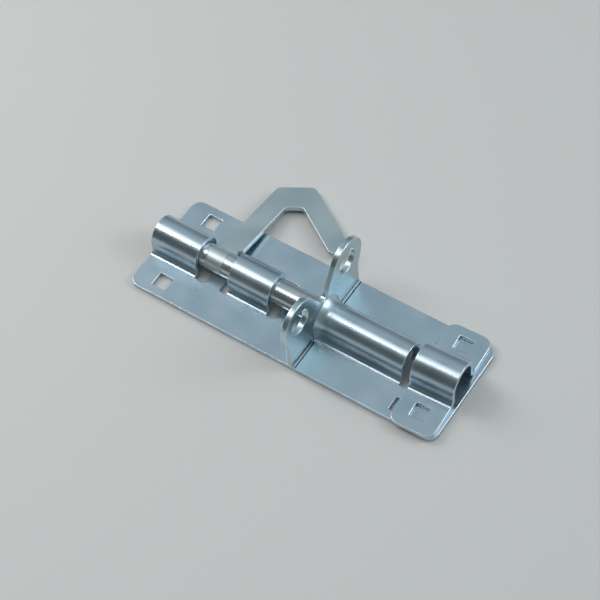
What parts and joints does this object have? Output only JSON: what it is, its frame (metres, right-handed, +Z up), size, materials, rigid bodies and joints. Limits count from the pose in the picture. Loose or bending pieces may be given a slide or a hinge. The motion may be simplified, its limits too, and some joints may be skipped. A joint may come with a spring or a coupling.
{
  "type": "padbolt",
  "caption": "Pressed-steel padbolt: a round bolt with a swinging hook handle slides through raised guides and an eared lock plate; a loose keeper takes the bolt's end.",
  "frame": {"origin": "middle of the base plate's mounting face", "axes": "+X along the bolt towards its tip, +Y across the plate towards the side the handle lies on, +Z up from the mounting face"},
  "size_m": [0.15, 0.0847, 0.0356],
  "materials": {
    "zinc_base": "bright zinc plate, satin",
    "zinc_lock": "bright zinc plate, satin",
    "zinc_rod": "bright zinc plate, glossy",
    "zinc_handle": "bright zinc plate, satin",
    "zinc_keeper": "bright zinc plate, satin"
  },
  "bodies": {
    "base": {"base_plate": "zinc_base", "lock_plate": "zinc_lock", "keeper_plate": "zinc_keeper"},
    "bolt": {"bolt_rod": "zinc_rod"},
    "handle": {"handle": "zinc_handle"}
  },
  "joints": [
    {"name": "bolt_throw", "type": "slide", "parent": "base", "child": "bolt", "axis": [1, 0, 0], "range_m": [0, 0.042]},
    {"name": "handle_swing", "type": "hinge", "parent": "bolt", "child": "handle", "pos_m": [-0.0449, 0, 0.00775], "axis": [1, 0, 0], "range_deg": [0, 192.4]}
  ]
}
